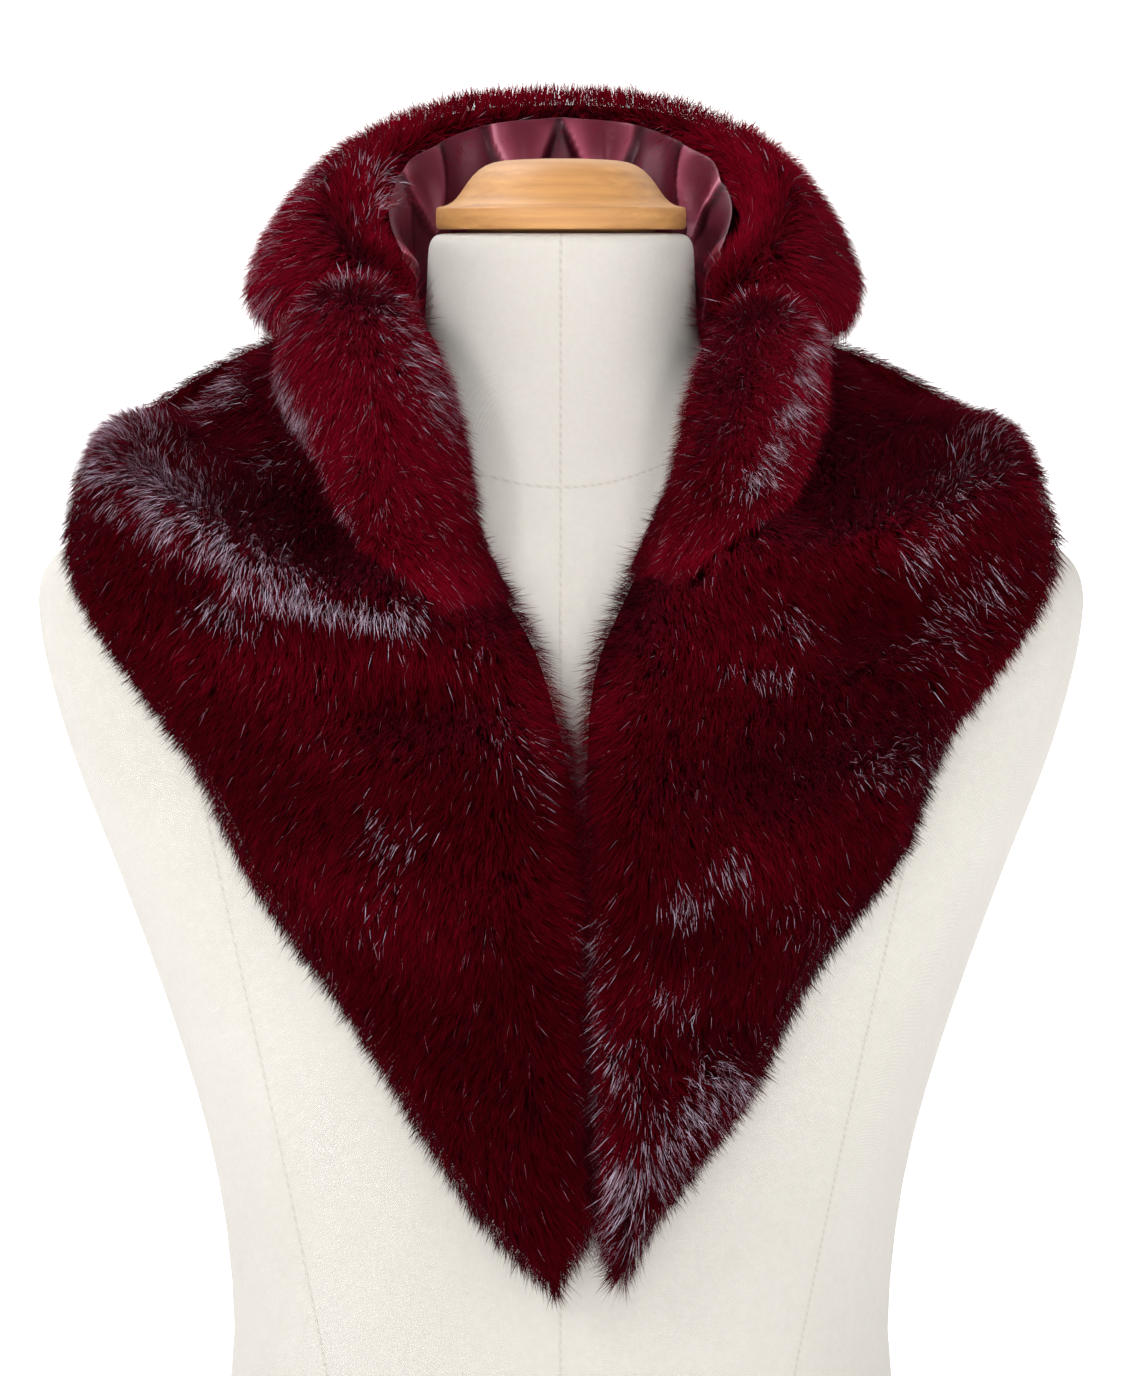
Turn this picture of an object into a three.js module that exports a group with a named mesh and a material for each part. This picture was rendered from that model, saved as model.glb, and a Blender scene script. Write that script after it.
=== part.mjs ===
// A fur collar wrap worn on a linen-covered dress form with a turned wood neck cap.
// Millimetres, +Z up. The front faces -Y, the wearer's left is +X, and the origin is the
// middle of the form's flat underside.
import * as THREE from "three";

// Driving dimensions of the dress form.
const BODY_POINTS = 44; // points round each section
const STEPS_PER_SECTION = 2; // rings between two rows of the table

// Horizontal sections of the form from the underside up: half width, depth in front of and
// behind the middle, and how square the section is (2 is an ellipse).
const BODY_SECTIONS = [
  { at: 0, half: 169, front: 101, back: 109, square: 2.2 },
  { at: 6, half: 174, front: 106, back: 114, square: 2.2 },
  { at: 70, half: 177, front: 109, back: 118, square: 2.2 },
  { at: 140, half: 157, front: 100, back: 101, square: 2.2 },
  { at: 212, half: 126, front: 87, back: 70, square: 2.15 },
  { at: 290, half: 132, front: 94, back: 76, square: 2.15 },
  { at: 360, half: 152, front: 109, back: 92, square: 2.2 },
  { at: 420, half: 174, front: 119, back: 102, square: 2.25 },
  { at: 450, half: 186, front: 116, back: 104, square: 2.3 },
  { at: 485, half: 196.5, front: 102, back: 104, square: 2.4 },
  { at: 512, half: 201, front: 89, back: 99, square: 2.5 },
  { at: 525, half: 199, front: 82, back: 93, square: 2.5 },
  { at: 534, half: 191, front: 77, back: 88, square: 2.45 },
  { at: 543, half: 172, front: 72, back: 82, square: 2.35 },
  { at: 556, half: 141, front: 64, back: 73, square: 2.2 },
  { at: 572, half: 104, front: 57, back: 63, square: 2.1 },
  { at: 586, half: 75, front: 53.5, back: 56, square: 2 },
  { at: 600, half: 59, front: 51.5, back: 51.5, square: 2 },
  { at: 616, half: 52.5, front: 51, back: 49, square: 2 },
  { at: 647, half: 51, front: 50, back: 48, square: 2 },
  { at: 652.7, half: 49, front: 48, back: 46, square: 2 },
  { at: 654.2, half: 44.5, front: 43.5, back: 41.5, square: 2 },
];
const NECK_TOP = 654.2;
const SEAM_GAP = 0.3; // between two pieces that meet

// The turned cap: radius and height of each corner of its outline, from the foot up.
const CAP_SEGMENTS = 40;
const CAP_OUTLINE = [
  { radius: 36, height: 0 },
  { radius: 36, height: 0.9 },
  { radius: 46.9, height: 0.9 },
  { radius: 47.8, height: 1.8 },
  { radius: 47.8, height: 8.6 },
  { radius: 47, height: 9.4 },
  { radius: 43.6, height: 10 },
  { radius: 40, height: 12.6 },
  { radius: 37, height: 16.8 },
  { radius: 34, height: 21 },
  { radius: 30.5, height: 24.2 },
  { radius: 25.5, height: 26.6 },
  { radius: 18, height: 27.4 },
  { radius: 0, height: 27.8 },
];

// The fur cloth: its backing and pile together, and how its cut edges round over.
const FUR_THICK = 21;
const FUR_EDGE_THICK = 5; // what is left at a cut edge
const FUR_EDGE_ROUND = 16; // how far in from the edge the pile is full
const CLEAR_OF_BODY = 0.6; // the closest that the backing comes to the form

// Rows along each front, from the shoulder seam to the tip. Each row crosses the front from
// its neck edge to its hem: the height on the form and the turn from the middle of the
// front, in degrees, of both ends, and how far the backing stands off the form at the neck
// edge, halfway and at the hem.
const PANEL_STEPS_LONG = 30;
const PANEL_STEPS_WIDE = 18;
const RIGHT_FRONT = [
  { at: 0, neckZ: 600, neckTurn: 90, hemZ: 544, hemTurn: 90, neckLift: 5, midLift: 23, hemLift: 5 },
  { at: 1, neckZ: 599, neckTurn: 79, hemZ: 536, hemTurn: 64, neckLift: 5, midLift: 17, hemLift: 3 },
  { at: 2, neckZ: 597, neckTurn: 64, hemZ: 511, hemTurn: 53, neckLift: 4, midLift: 9, hemLift: 3 },
  { at: 3, neckZ: 578, neckTurn: 29, hemZ: 488, hemTurn: 47.2, neckLift: 3, midLift: 5, hemLift: 2 },
  { at: 4, neckZ: 545, neckTurn: 9, hemZ: 460, hemTurn: 41.4, neckLift: 2, midLift: 3, hemLift: 2 },
  { at: 5, neckZ: 511, neckTurn: 2, hemZ: 426, hemTurn: 37, neckLift: 2, midLift: 3, hemLift: 2 },
  { at: 6, neckZ: 477, neckTurn: 0, hemZ: 396, hemTurn: 31.3, neckLift: 1, midLift: 3, hemLift: 3 },
  { at: 7, neckZ: 439, neckTurn: -1.4, hemZ: 359, hemTurn: 23.8, neckLift: 1, midLift: 4, hemLift: 5 },
  { at: 8, neckZ: 398, neckTurn: -2.3, hemZ: 315, hemTurn: 15.4, neckLift: 3, midLift: 7, hemLift: 9 },
  { at: 9, neckZ: 347, neckTurn: -3.2, hemZ: 288, hemTurn: 8.4, neckLift: 8, midLift: 12, hemLift: 13 },
  { at: 10, neckZ: 300, neckTurn: -4.4, hemZ: 267, hemTurn: 0.6, neckLift: 14, midLift: 16, hemLift: 16 },
];
const LEFT_FRONT = [
  { at: 0, neckZ: 600, neckTurn: 90, hemZ: 543, hemTurn: 90, neckLift: 5, midLift: 19, hemLift: 4 },
  { at: 1, neckZ: 599, neckTurn: 79, hemZ: 535, hemTurn: 65, neckLift: 5, midLift: 13, hemLift: 3 },
  { at: 2, neckZ: 596, neckTurn: 66, hemZ: 510, hemTurn: 54, neckLift: 4, midLift: 8, hemLift: 3 },
  { at: 3, neckZ: 576, neckTurn: 31, hemZ: 488, hemTurn: 48.4, neckLift: 3, midLift: 4, hemLift: 2 },
  { at: 4, neckZ: 544, neckTurn: 9, hemZ: 461, hemTurn: 42.2, neckLift: 2, midLift: 3, hemLift: 2 },
  { at: 5, neckZ: 512, neckTurn: 3, hemZ: 425, hemTurn: 38.4, neckLift: 2, midLift: 3, hemLift: 2 },
  { at: 6, neckZ: 479, neckTurn: 1.5, hemZ: 394, hemTurn: 33.2, neckLift: 3, midLift: 4, hemLift: 3 },
  { at: 7, neckZ: 440, neckTurn: 1.7, hemZ: 354, hemTurn: 26.2, neckLift: 4, midLift: 5, hemLift: 5 },
  { at: 8, neckZ: 399, neckTurn: 2.5, hemZ: 317, hemTurn: 18.2, neckLift: 6, midLift: 8, hemLift: 9 },
  { at: 9, neckZ: 347, neckTurn: 3.5, hemZ: 294, hemTurn: 12.5, neckLift: 11, midLift: 13, hemLift: 13 },
  { at: 10, neckZ: 293, neckTurn: 4.9, hemZ: 272, hemTurn: 8, neckLift: 16, midLift: 17, hemLift: 16 },
];
// Rows round the back, from the right shoulder seam to the left one.
const BACK_STEPS_LONG = 18;
const BACK = [
  { at: 0, neckZ: 600, neckTurn: -90.5, hemZ: 544, hemTurn: -90.3, neckLift: 5, midLift: 23, hemLift: 5 },
  { at: 1, neckZ: 601, neckTurn: -115, hemZ: 536, hemTurn: -112, neckLift: 4, midLift: 15, hemLift: 4 },
  { at: 2, neckZ: 603, neckTurn: -145, hemZ: 502, hemTurn: -146, neckLift: 3, midLift: 8, hemLift: 2 },
  { at: 3, neckZ: 604, neckTurn: -180, hemZ: 480, hemTurn: -180, neckLift: 3, midLift: 6, hemLift: 2 },
  { at: 4, neckZ: 603, neckTurn: -215, hemZ: 501, hemTurn: -214, neckLift: 3, midLift: 8, hemLift: 2 },
  { at: 5, neckZ: 601, neckTurn: -245, hemZ: 535, hemTurn: -248, neckLift: 4, midLift: 13, hemLift: 4 },
  { at: 6, neckZ: 600, neckTurn: -269.5, hemZ: 543, hemTurn: -269.7, neckLift: 5, midLift: 19, hemLift: 4 },
];

// Folds of the fronts as ridges (or troughs, where the height is negative) along a straight
// line seen from the front: the line's two ends, its height and its half width.
const RIGHT_FOLDS = [
  { x1: -158, z1: 538, x2: -120, z2: 532, height: 11, reach: 15 },
  { x1: -120, z1: 532, x2: -52, z2: 508, height: 13, reach: 17 },
  { x1: -128, z1: 560, x2: -98, z2: 550, height: -10, reach: 17 },
  { x1: -130, z1: 470, x2: -30, z2: 452, height: -4, reach: 24 },
  { x1: -95, z1: 425, x2: -30, z2: 400, height: 5, reach: 24 },
];
const LEFT_FOLDS = [
  { x1: 66, z1: 524, x2: 154, z2: 536, height: 10, reach: 17 },
  { x1: 92, z1: 556, x2: 122, z2: 572, height: -9, reach: 17 },
  { x1: 70, z1: 480, x2: 160, z2: 506, height: -7, reach: 18 },
  { x1: 45, z1: 406, x2: 116, z2: 438, height: 7, reach: 18 },
  { x1: 30, z1: 374, x2: 88, z2: 392, height: -5, reach: 17 },
  { x1: 30, z1: 340, x2: 66, z2: 350, height: 4, reach: 17 },
];

// The lapels lie on the fronts along the neck edge. Each row lies over a row of the front's
// table, is a share of its width wide, rolls out to a height at its fullest, stands up by its
// rise, and is as steep at its edges as edge says, from 0.5 (a full roll) to 2 (a low swell that
// runs out in the front).
const LAPEL_STEPS_LONG = 18;
const LAPEL_STEPS_WIDE = 8;
const LAPEL_WALL = 14;
const RIGHT_LAPEL = [
  { at: 2, share: 0.27, height: 12, rise: 2, edge: 0.6 },
  { at: 2.15, share: 0.29, height: 21, rise: 12, edge: 0.55 },
  { at: 2.5, share: 0.28, height: 26, rise: 14, edge: 0.5 },
  { at: 3, share: 0.25, height: 25, rise: 6, edge: 0.5 },
  { at: 3.5, share: 0.23, height: 19, rise: 1, edge: 0.6 },
  { at: 3.9, share: 0.22, height: 12, rise: 0, edge: 0.8 },
  { at: 4.3, share: 0.21, height: 6, rise: 0, edge: 1.2 },
  { at: 4.8, share: 0.15, height: 1.5, rise: 0, edge: 2 },
];
const LEFT_LAPEL = [
  { at: 2.03, share: 0.19, height: 11, rise: 2, edge: 0.6 },
  { at: 2.2, share: 0.21, height: 20, rise: 7, edge: 0.55 },
  { at: 2.5, share: 0.22, height: 24, rise: 9, edge: 0.5 },
  { at: 2.9, share: 0.23, height: 21, rise: 4, edge: 0.55 },
  { at: 3.25, share: 0.23, height: 15, rise: 1, edge: 0.7 },
  { at: 3.6, share: 0.21, height: 9, rise: 0, edge: 1 },
  { at: 4, share: 0.17, height: 4, rise: 0, edge: 1.5 },
  { at: 4.5, share: 0.12, height: 1.5, rise: 0, edge: 2 },
];
const RIGHT_LAPEL_GAP = 2.5; // between a lapel's underside and the front's own points
const LEFT_LAPEL_GAP = 1.8;

// The standing collar, as arched sections turned round the neck: the angle from the middle of
// the back, then the radius and height of its seam, rim, crown, fullest point and foot. Radii
// are from the collar's own middle, a little behind the neck's.
const COLLAR_MIDDLE_Y = 8;
const COLLAR_WALL = 14;
const COLLAR_STEPS_ROUND = 34;
const COLLAR_STEPS_OVER = 13;
const COLLAR_END = 120; // degrees from the back, on each side
const COLLAR_CLOSE = 14; // degrees over which the hollow closes towards an end
const COLLAR_LEFT_SHARE = 0.9; // the left side stands this much nearer the neck
const COLLAR_SECTIONS = [
  {
    at: 0, seamR: 61, seamZ: 613, rimR: 70, rimZ: 696, crownR: 88, crownZ: 710,
    fullR: 107, fullZ: 666, footR: 95, footZ: 590,
  },
  {
    at: 25, seamR: 61, seamZ: 613, rimR: 69, rimZ: 693, crownR: 88, crownZ: 708,
    fullR: 108, fullZ: 664, footR: 98, footZ: 594,
  },
  {
    at: 45, seamR: 62, seamZ: 613, rimR: 68, rimZ: 686, crownR: 86, crownZ: 701,
    fullR: 112, fullZ: 659, footR: 103, footZ: 604,
  },
  {
    at: 65, seamR: 62, seamZ: 613, rimR: 67, rimZ: 678, crownR: 90, crownZ: 691,
    fullR: 118, fullZ: 652, footR: 109, footZ: 617,
  },
  {
    at: 90, seamR: 62, seamZ: 614, rimR: 66, rimZ: 661, crownR: 93, crownZ: 673,
    fullR: 119, fullZ: 641, footR: 112, footZ: 620.5,
  },
  {
    at: 105, seamR: 62, seamZ: 616, rimR: 66, rimZ: 648, crownR: 91, crownZ: 658,
    fullR: 115, fullZ: 636, footR: 110, footZ: 621,
  },
  {
    at: 120, seamR: 62, seamZ: 620, rimR: 66, rimZ: 639, crownR: 89, crownZ: 648,
    fullR: 107, fullZ: 632, footR: 102, footZ: 622,
  },
];

// The satin lining inside the collar, gathered into soft pleats.
const LINING_THICK = 1.2;
const LINING_REACH = 0.41; // the share of the collar's outline that it covers
const LINING_STEPS_ROUND = 64;
const LINING_STEPS_HIGH = 6;
const LINING_PLEATS = [
  { turn: -104, depth: 2.5, reach: 7 },
  { turn: -78, depth: 4, reach: 6 },
  { turn: -52, depth: 5, reach: 6 },
  { turn: -31, depth: 3.5, reach: 5 },
  { turn: -12, depth: 6, reach: 5 },
  { turn: 10, depth: 4.5, reach: 4 },
  { turn: 30, depth: 5.5, reach: 6 },
  { turn: 52, depth: 6, reach: 6 },
  { turn: 76, depth: 5, reach: 7 },
  { turn: 101, depth: 3, reach: 7 },
];

const LINEN = { color: 0xece7dc, roughness: 0.9, metalness: 0 };
const WOOD = { color: 0xd9a066, roughness: 0.45, metalness: 0 };
const FUR = { color: 0x5e0a1c, roughness: 0.6, metalness: 0 };
const SATIN = { color: 0x7c3a52, roughness: 0.35, metalness: 0 };

// A column of a table at any position, by a smooth curve through its rows.
function column(rows, key, at) {
  const last = rows.length - 1;
  let i = 0;
  while (i < last - 1 && at > rows[i + 1].at) i += 1;
  const slope = (k) => {
    const low = Math.max(k - 1, 0);
    const high = Math.min(k + 1, last);
    return (rows[high][key] - rows[low][key]) / (rows[high].at - rows[low].at);
  };
  const span = rows[i + 1].at - rows[i].at;
  const u = THREE.MathUtils.clamp((at - rows[i].at) / span, 0, 1);
  const flat = (rows[i + 1][key] - rows[i][key]) / span;
  const most = 3 * Math.abs(flat);
  const limit = (m) => (flat * m <= 0 ? 0 : THREE.MathUtils.clamp(m, -most, most));
  const start = limit(slope(i)) * span;
  const end = limit(slope(i + 1)) * span;
  const u2 = u * u;
  const u3 = u2 * u;
  return (
    (2 * u3 - 3 * u2 + 1) * rows[i][key] +
    (u3 - 2 * u2 + u) * start +
    (3 * u2 - 2 * u3) * rows[i + 1][key] +
    (u3 - u2) * end
  );
}

// A closed solid from a list of triangles of points.
function solid(name, look, triangles) {
  const geometry = new THREE.BufferGeometry().setFromPoints(triangles.flat());
  geometry.computeVertexNormals();
  const mesh = new THREE.Mesh(geometry, new THREE.MeshStandardMaterial(look));
  mesh.name = name;
  return mesh;
}

// The two triangles of a four-cornered face, with its corners anticlockwise from outside.
const face = (a, b, c, d) => [[a, b, c], [a, c, d]];

// A wall between two grids of points of the same size, closed along all four edges.
function wall(name, look, outer, inner) {
  const rows = outer.length - 1;
  const columns = outer[0].length - 1;
  const triangles = [];
  for (let i = 0; i < rows; i += 1) {
    for (let j = 0; j < columns; j += 1) {
      const [a, b] = [outer[i], outer[i + 1]];
      const [c, d] = [inner[i], inner[i + 1]];
      triangles.push(...face(a[j], b[j], b[j + 1], a[j + 1]));
      triangles.push(...face(c[j], c[j + 1], d[j + 1], d[j]));
    }
    triangles.push(...face(inner[i][0], inner[i + 1][0], outer[i + 1][0], outer[i][0]));
    const last = [outer[i], outer[i + 1], inner[i + 1], inner[i]].map((row) => row[columns]);
    triangles.push(...face(...last));
  }
  for (let j = 0; j < columns; j += 1) {
    triangles.push(...face(outer[0][j], outer[0][j + 1], inner[0][j + 1], inner[0][j]));
    triangles.push(...face(inner[rows][j], inner[rows][j + 1], outer[rows][j + 1], outer[rows][j]));
  }
  return solid(name, look, triangles);
}

// A point on the dress form at a height, turned from the middle of the front towards +X.
function bodyPoint(height, turn) {
  const angle = THREE.MathUtils.degToRad(turn);
  const power = 2 / column(BODY_SECTIONS, "square", height);
  const side = Math.sin(angle);
  const ahead = Math.cos(angle);
  const depth = column(BODY_SECTIONS, ahead > 0 ? "front" : "back", height);
  return new THREE.Vector3(
    column(BODY_SECTIONS, "half", height) * Math.sign(side) * Math.abs(side) ** power,
    -depth * Math.sign(ahead) * Math.abs(ahead) ** power,
    height,
  );
}

// The form's outward normal there, from how its surface runs round and up.
function bodyNormal(height, turn) {
  const round = bodyPoint(height, turn + 2).sub(bodyPoint(height, turn - 2));
  const up = bodyPoint(height + 3, turn).sub(bodyPoint(height - 3, turn));
  return round.cross(up).normalize();
}

function body() {
  const rings = [];
  BODY_SECTIONS.slice(1).forEach((row, i) => {
    for (let k = 0; k < STEPS_PER_SECTION; k += 1) {
      rings.push(THREE.MathUtils.lerp(BODY_SECTIONS[i].at, row.at, k / STEPS_PER_SECTION));
    }
  });
  rings.push(BODY_SECTIONS.at(-1).at);
  const turnOf = (k) => ((k % BODY_POINTS) / BODY_POINTS) * 360;
  const at = (i, k) => bodyPoint(rings[i], turnOf(k));
  const triangles = [];
  const top = rings.length - 1;
  const foot = new THREE.Vector3(0, 0, rings[0]);
  const head = new THREE.Vector3(0, 0, rings[top]);
  for (let k = 0; k < BODY_POINTS; k += 1) {
    for (let i = 0; i < top; i += 1) {
      triangles.push(...face(at(i, k), at(i, k + 1), at(i + 1, k + 1), at(i + 1, k)));
    }
    triangles.push([foot, at(0, k + 1), at(0, k)]);
    triangles.push([head, at(top, k), at(top, k + 1)]);
  }
  return solid("form_body", LINEN, triangles);
}

function neckCap() {
  const outline = [new THREE.Vector2(0, 0)];
  CAP_OUTLINE.forEach((corner) => outline.push(new THREE.Vector2(corner.radius, corner.height)));
  const geometry = new THREE.LatheGeometry(outline, CAP_SEGMENTS);
  geometry.rotateX(Math.PI / 2);
  const mesh = new THREE.Mesh(geometry, new THREE.MeshStandardMaterial(WOOD));
  mesh.name = "neck_cap";
  mesh.position.z = NECK_TOP + SEAM_GAP;
  return mesh;
}

// How far a fold lifts the cloth at a place seen from the front.
function foldLift(folds, x, z) {
  return folds.reduce((lift, fold) => {
    const alongX = fold.x2 - fold.x1;
    const alongZ = fold.z2 - fold.z1;
    const length2 = alongX ** 2 + alongZ ** 2;
    const share = ((x - fold.x1) * alongX + (z - fold.z1) * alongZ) / length2;
    const near = THREE.MathUtils.clamp(share, 0, 1);
    const away2 = (x - fold.x1 - near * alongX) ** 2 + (z - fold.z1 - near * alongZ) ** 2;
    return lift + fold.height * Math.exp(-away2 / fold.reach ** 2);
  }, 0);
}

// The pile's thickness at a distance from the nearest cut edge, which it rounds over.
function pileThickness(fromEdge) {
  const share = THREE.MathUtils.clamp(fromEdge / FUR_EDGE_ROUND, 0, 1);
  return FUR_EDGE_THICK + (FUR_THICK - FUR_EDGE_THICK) * Math.sqrt(1 - (1 - share) ** 2);
}

// The two faces of a fur panel that lies on the form, as grids from its table of rows. side is
// 1 on the wearer's left and -1 on the right. openEnds says which ends are cut edges.
function panelGrids(rows, side, steps, folds, openEnds) {
  const wide = PANEL_STEPS_WIDE;
  const long = rows.at(-1).at;
  const base = [];
  for (let i = 0; i <= steps; i += 1) {
    const at = (i / steps) * long;
    const [neckZ, neckTurn, hemZ, hemTurn] = ["neckZ", "neckTurn", "hemZ", "hemTurn"].map((key) =>
      column(rows, key, at),
    );
    const lifts = ["neckLift", "midLift", "hemLift"].map((key) => column(rows, key, at));
    base.push(
      Array.from({ length: wide + 1 }, (_, j) => {
        const across = j / wide;
        const height = THREE.MathUtils.lerp(neckZ, hemZ, across);
        const turn = side * THREE.MathUtils.lerp(neckTurn, hemTurn, across);
        const bow = 4 * across * (1 - across);
        const lift = THREE.MathUtils.lerp(lifts[0], lifts[2], across) * (1 - bow) + lifts[1] * bow;
        return { point: bodyPoint(height, turn), normal: bodyNormal(height, turn), lift };
      }),
    );
  }
  const width = base.map((row) => row[0].point.distanceTo(row[wide].point));
  const middle = wide / 2;
  const runs = [0];
  for (let i = 1; i <= steps; i += 1) {
    runs.push(runs[i - 1] + base[i][middle].point.distanceTo(base[i - 1][middle].point));
  }
  const inner = [];
  const outer = [];
  base.forEach((row, i) => {
    inner.push([]);
    outer.push([]);
    row.forEach(({ point, normal, lift }, j) => {
      const edges = [(j / wide) * width[i], (1 - j / wide) * width[i]];
      if (openEnds.start) edges.push(runs[i]);
      if (openEnds.end) edges.push(runs[steps] - runs[i]);
      const fold = foldLift(folds, point.x, point.z);
      const low = Math.max(lift + fold, CLEAR_OF_BODY);
      const thick = pileThickness(Math.min(...edges));
      inner[i].push(point.clone().addScaledVector(normal, low));
      outer[i].push(point.clone().addScaledVector(normal, low + thick));
    });
  });
  return { outer, inner };
}

// Grids are built from the neck edge outwards. On the left their rows run the other way round.
const turned = ({ outer, inner }) => ({
  outer: outer.map((row) => [...row].reverse()),
  inner: inner.map((row) => [...row].reverse()),
});

// A point of a grid between its own points, counted in rows and columns.
function between(grid, row, col) {
  const i = Math.min(Math.floor(row), grid.length - 2);
  const j = Math.min(Math.floor(col), grid[0].length - 2);
  const near = grid[i][j].clone().lerp(grid[i][j + 1], col - j);
  const far = grid[i + 1][j].clone().lerp(grid[i + 1][j + 1], col - j);
  return near.lerp(far, row - i);
}

// The outward normal of a grid there.
function gridNormal(grid, row, col) {
  const rows = grid.length - 1;
  const columns = grid[0].length - 1;
  const ahead = between(grid, Math.min(row + 0.7, rows), col);
  const behind = between(grid, Math.max(row - 0.7, 0), col);
  const far = between(grid, row, Math.min(col + 0.7, columns));
  const near = between(grid, row, Math.max(col - 0.7, 0));
  return ahead.sub(behind).cross(far.sub(near)).normalize();
}

// A lapel rolls up from the panel's own outer points, so that it lies on the panel all over.
function lapelGrids(panel, side, rows, gap) {
  const outer = [];
  const inner = [];
  const first = rows[0].at;
  const last = rows.at(-1).at;
  const panelSteps = PANEL_STEPS_LONG / RIGHT_FRONT.at(-1).at;
  for (let i = 0; i <= LAPEL_STEPS_LONG; i += 1) {
    const at = THREE.MathUtils.lerp(first, last, i / LAPEL_STEPS_LONG);
    const share = column(rows, "share", at);
    const height = column(rows, "height", at);
    const edge = column(rows, "edge", at);
    outer.push([]);
    inner.push([]);
    for (let j = 0; j <= LAPEL_STEPS_WIDE; j += 1) {
      const across = j / LAPEL_STEPS_WIDE;
      const place = [at * panelSteps, across * share * PANEL_STEPS_WIDE];
      const foot = between(panel.outer, ...place);
      const up = gridNormal(panel.outer, ...place).multiplyScalar(side);
      const arch = Math.sin(Math.PI * (0.05 + 0.9 * across)) ** edge;
      const hollow = Math.max(0, height * arch - LAPEL_WALL);
      const stand = new THREE.Vector3(0, 0, column(rows, "rise", at) * arch);
      outer[i].push(foot.clone().addScaledVector(up, gap + 1.2 + height * arch).add(stand));
      inner[i].push(foot.clone().addScaledVector(up, gap + hollow));
    }
  }
  return { outer, inner };
}

// A point of the collar at an angle from the middle of the back, towards +X.
function collarPoint(turn, radius, height) {
  const angle = THREE.MathUtils.degToRad(turn);
  return new THREE.Vector3(radius * Math.sin(angle), COLLAR_MIDDLE_Y + radius * Math.cos(angle), height);
}

// The outline of the collar's section at an angle, from its seam over the top to its foot,
// moved inwards by an inset.
function collarOutline(turn, inset) {
  const at = Math.abs(turn);
  const share = turn > 0 ? THREE.MathUtils.lerp(1, COLLAR_LEFT_SHARE, Math.min(at / 60, 1)) : 1;
  const value = (key) => column(COLLAR_SECTIONS, key, at);
  const spread = (radius) => (radius - 66) * share + 66;
  const corners = [
    [value("seamR") + inset, value("seamZ")],
    [(value("seamR") + value("rimR")) / 2 + inset, (value("seamZ") + value("rimZ")) / 2],
    [value("rimR") + inset, value("rimZ") - inset * 0.3],
    [spread(value("crownR")), value("crownZ") - inset],
    [spread(value("fullR")) - inset, value("fullZ")],
    [spread(value("footR")) - inset * 0.7, value("footZ")],
  ];
  return new THREE.SplineCurve(corners.map(([radius, height]) => new THREE.Vector2(radius, height)));
}

// The collar's two faces. Towards its front ends the hollow closes, down to a plain end.
function collarGrids() {
  const outer = [];
  const inner = [];
  for (let i = 0; i <= COLLAR_STEPS_ROUND; i += 1) {
    const turn = THREE.MathUtils.lerp(-COLLAR_END, COLLAR_END, i / COLLAR_STEPS_ROUND);
    const open = Math.sqrt(Math.min((COLLAR_END - Math.abs(turn)) / COLLAR_CLOSE, 1));
    const under = collarOutline(turn, COLLAR_WALL).getPoints(COLLAR_STEPS_OVER);
    const place = (point) => collarPoint(turn, point.x, point.y);
    outer.push(collarOutline(turn, 0).getPoints(COLLAR_STEPS_OVER).map(place));
    inner.push(
      under.map((point, j) => {
        const closed = under[0].clone().lerp(under.at(-1), j / COLLAR_STEPS_OVER);
        return place(closed.lerp(point, open));
      }),
    );
  }
  return { outer, inner };
}

// The lining hangs inside the collar from its rim to its seam, and its pleats stand out from it.
function liningGrids() {
  const outer = [];
  const inner = [];
  for (let i = 0; i <= LINING_STEPS_ROUND; i += 1) {
    const turn = THREE.MathUtils.lerp(-COLLAR_END + 1, COLLAR_END - 1, i / LINING_STEPS_ROUND);
    const outline = collarOutline(turn, 0);
    outer.push([]);
    inner.push([]);
    for (let j = 0; j <= LINING_STEPS_HIGH; j += 1) {
      const high = j / LINING_STEPS_HIGH;
      const point = outline.getPoint(0.02 + LINING_REACH * high);
      const pleat = LINING_PLEATS.reduce(
        (sum, { turn: at, depth, reach }) => sum + depth * Math.exp(-(((turn - at) / reach) ** 2)),
        0,
      );
      const out = 0.9 + high ** 4 + pleat * Math.sin(Math.PI * (0.12 + 0.8 * high));
      outer[i].push(collarPoint(turn, point.x - out - LINING_THICK, point.y));
      inner[i].push(collarPoint(turn, point.x - out, point.y));
    }
  }
  return { outer, inner };
}

const wrap = new THREE.Group();
wrap.add(body(), neckCap());

const rightFront = panelGrids(RIGHT_FRONT, -1, PANEL_STEPS_LONG, RIGHT_FOLDS, { end: true });
const leftFront = panelGrids(LEFT_FRONT, 1, PANEL_STEPS_LONG, LEFT_FOLDS, { end: true });
const back = panelGrids(BACK, 1, BACK_STEPS_LONG, [], {});
const rightLapel = lapelGrids(rightFront, -1, RIGHT_LAPEL, RIGHT_LAPEL_GAP);
const leftLapel = lapelGrids(leftFront, 1, LEFT_LAPEL, LEFT_LAPEL_GAP);
const collar = collarGrids();
const lining = liningGrids();

const pieces = [
  ["front_right", FUR, turned(rightFront)],
  ["front_left", FUR, leftFront],
  ["back", FUR, back],
  ["lapel_right", FUR, turned(rightLapel)],
  ["lapel_left", FUR, leftLapel],
  ["collar", FUR, collar],
  ["collar_lining", SATIN, lining],
];
pieces.forEach(([name, look, { outer, inner }]) => wrap.add(wall(name, look, outer, inner)));

export default wrap;
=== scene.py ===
import math

import bpy
import numpy as np
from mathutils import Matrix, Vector
from mathutils.bvhtree import BVHTree
from mathutils.kdtree import KDTree


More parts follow.
